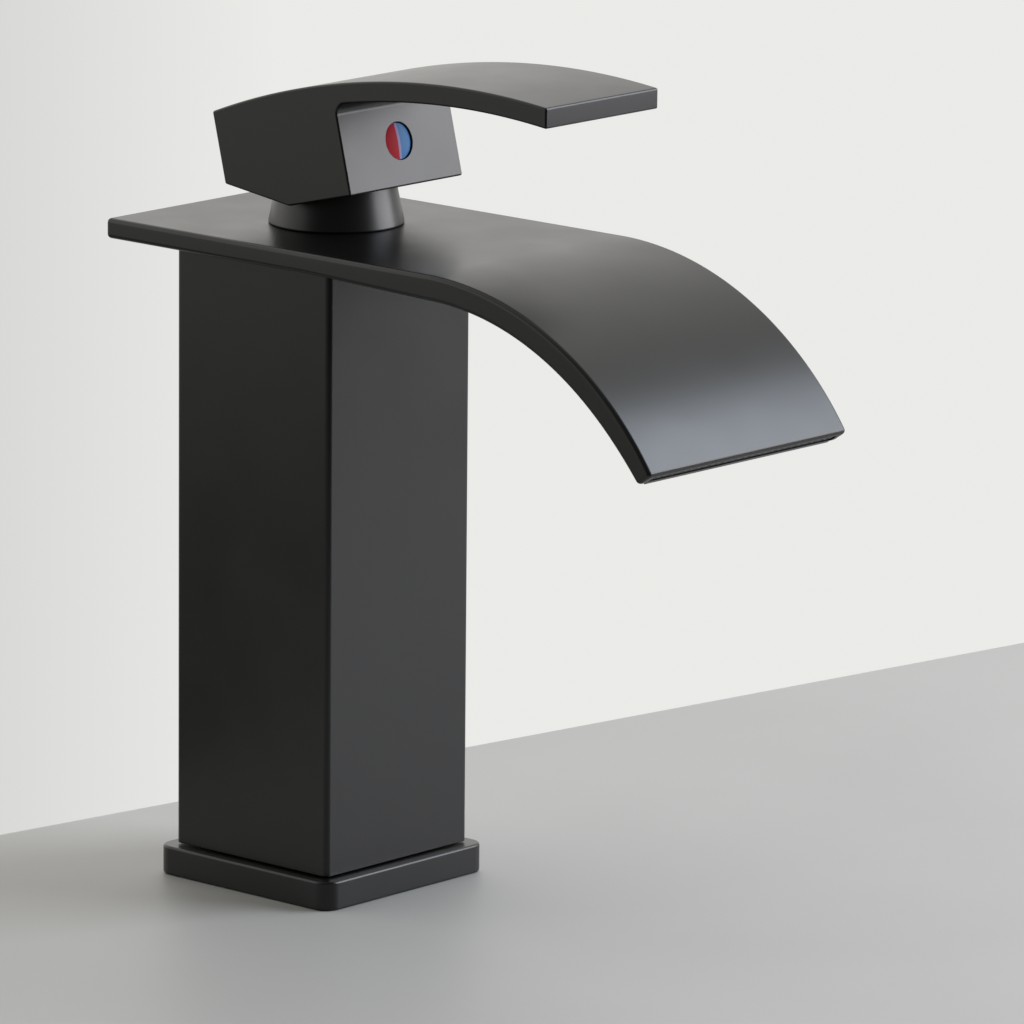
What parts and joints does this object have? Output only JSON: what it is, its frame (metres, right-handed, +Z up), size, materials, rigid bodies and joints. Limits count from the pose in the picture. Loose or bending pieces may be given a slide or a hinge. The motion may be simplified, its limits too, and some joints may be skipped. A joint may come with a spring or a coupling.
{
  "type": "basin mixer faucet",
  "caption": "Single-lever deck-mounted basin mixer with a square column, a wide flat spout turned down at the front, a ceramic cartridge and an under-deck clamp.",
  "frame": {"origin": "middle of the base plate's underside, on the top face of the deck that holds the faucet", "axes": "+Z up, away from the deck; the spout points along -Y; seen from the front, hot is on the left (-X) and cold on the right (+X)"},
  "size_m": [0.0654, 0.1613, 0.2471],
  "materials": {
    "matte_black_coat": "matte black coating, satin sheen",
    "brass": "machined casting",
    "steel": "bright, machined",
    "white_plastic": "moulded",
    "grey_plastic": "moulded",
    "ceramic": "lapped",
    "rubber": "moulded",
    "red_mark": "gloss",
    "blue_mark": "gloss"
  },
  "bodies": {
    "fixed_body": {"base_plate": "matte_black_coat", "base_gasket": "rubber", "column_shell": "matte_black_coat", "inlet_block": "brass", "riser_tube_hot": "brass", "riser_tube_cold": "brass", "valve_body": "brass", "spout_shell": "matte_black_coat", "spout_floor": "matte_black_coat", "outlet_comb": "grey_plastic", "spout_seal": "rubber", "cartridge_lock_nut": "brass", "collar": "matte_black_coat", "cartridge_housing": "grey_plastic", "cartridge_base": "grey_plastic", "fixed_ceramic_disc": "ceramic", "inlet_seal_hot": "rubber", "inlet_seal_cold": "rubber", "outlet_seal": "rubber", "mounting_stud": "steel", "clamp_rubber_pad": "rubber", "clamp_horseshoe": "steel", "stud_nut": "steel"},
    "rotor": {"cartridge_rotor": "white_plastic", "pivot_pin": "steel"},
    "lever": {"cartridge_stem": "steel", "lever_handle": "matte_black_coat", "handle_grub_screw": "steel", "indicator_plug": "white_plastic", "indicator_hot_mark": "red_mark", "indicator_cold_mark": "blue_mark"},
    "shuttle": {"disc_carrier": "white_plastic", "moving_ceramic_disc": "ceramic"}
  },
  "joints": [
    {"name": "handle_swivel", "type": "hinge", "parent": "fixed_body", "child": "rotor", "pos_m": [0, -0.00374, 0.16], "axis": [0, 0, 1], "range_deg": [-45, 45]},
    {"name": "handle_lift", "type": "hinge", "parent": "rotor", "child": "lever", "pos_m": [0, -0.00374, 0.16], "axis": [-1, 0, 0], "range_deg": [-14, 11]},
    {"name": "disc_slide", "type": "slide", "parent": "rotor", "child": "shuttle", "axis": [0, -1, 0], "range_m": [-0.0032, 0.0025]}
  ],
  "couplings": [
    {"joint": "disc_slide", "follows": "handle_lift", "m_per_rad": 0.01269}
  ]
}
